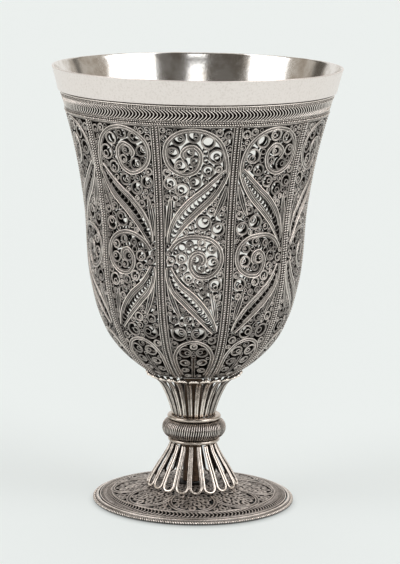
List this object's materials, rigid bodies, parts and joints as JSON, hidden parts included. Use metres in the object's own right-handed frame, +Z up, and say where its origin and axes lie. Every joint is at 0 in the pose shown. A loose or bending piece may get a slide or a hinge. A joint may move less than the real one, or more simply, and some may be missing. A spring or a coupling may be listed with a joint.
{
  "type": "filigree chalice",
  "caption": "Footed silver cup: a plain polished liner inside an openwork filigree shell, on a stem of wire loops with a ringed knop and a domed round foot.",
  "frame": {"origin": "centre of the foot's underside, on the axis of the cup", "axes": "+Z up along the axis of the cup, from the foot to the mouth"},
  "size_m": [0.098, 0.098, 0.15],
  "materials": {
    "polished_silver": "polished silver, satin on the outer band",
    "filigree_silver": "oxidised silver wire, rubbed bright on its high edges",
    "bright_wire": "worn bright silver with dark tarnish in the gaps",
    "old_brass": "dull brown oxidised metal"
  },
  "bodies": {
    "root": {"liner": "polished_silver", "shell_panel_01": "filigree_silver", "shell_panel_02": "filigree_silver", "shell_panel_03": "filigree_silver", "shell_panel_04": "filigree_silver", "shell_panel_05": "filigree_silver", "shell_panel_06": "filigree_silver", "shell_panel_07": "filigree_silver", "shell_panel_08": "filigree_silver", "shell_panel_09": "filigree_silver", "shell_panel_10": "filigree_silver", "shell_rib_01": "filigree_silver", "shell_rib_02": "filigree_silver", "shell_rib_03": "filigree_silver", "shell_rib_04": "filigree_silver", "shell_rib_05": "filigree_silver", "shell_rib_06": "filigree_silver", "shell_rib_07": "filigree_silver", "shell_rib_08": "filigree_silver", "shell_rib_09": "filigree_silver", "shell_rib_10": "filigree_silver", "shell_border": "filigree_silver", "calyx": "bright_wire", "collar_upper": "bright_wire", "knop": "filigree_silver", "collar_lower": "bright_wire", "stem_flare": "bright_wire", "stem_rod": "old_brass", "foot_disc": "filigree_silver", "foot_edge": "filigree_silver"}
  },
  "joints": []
}
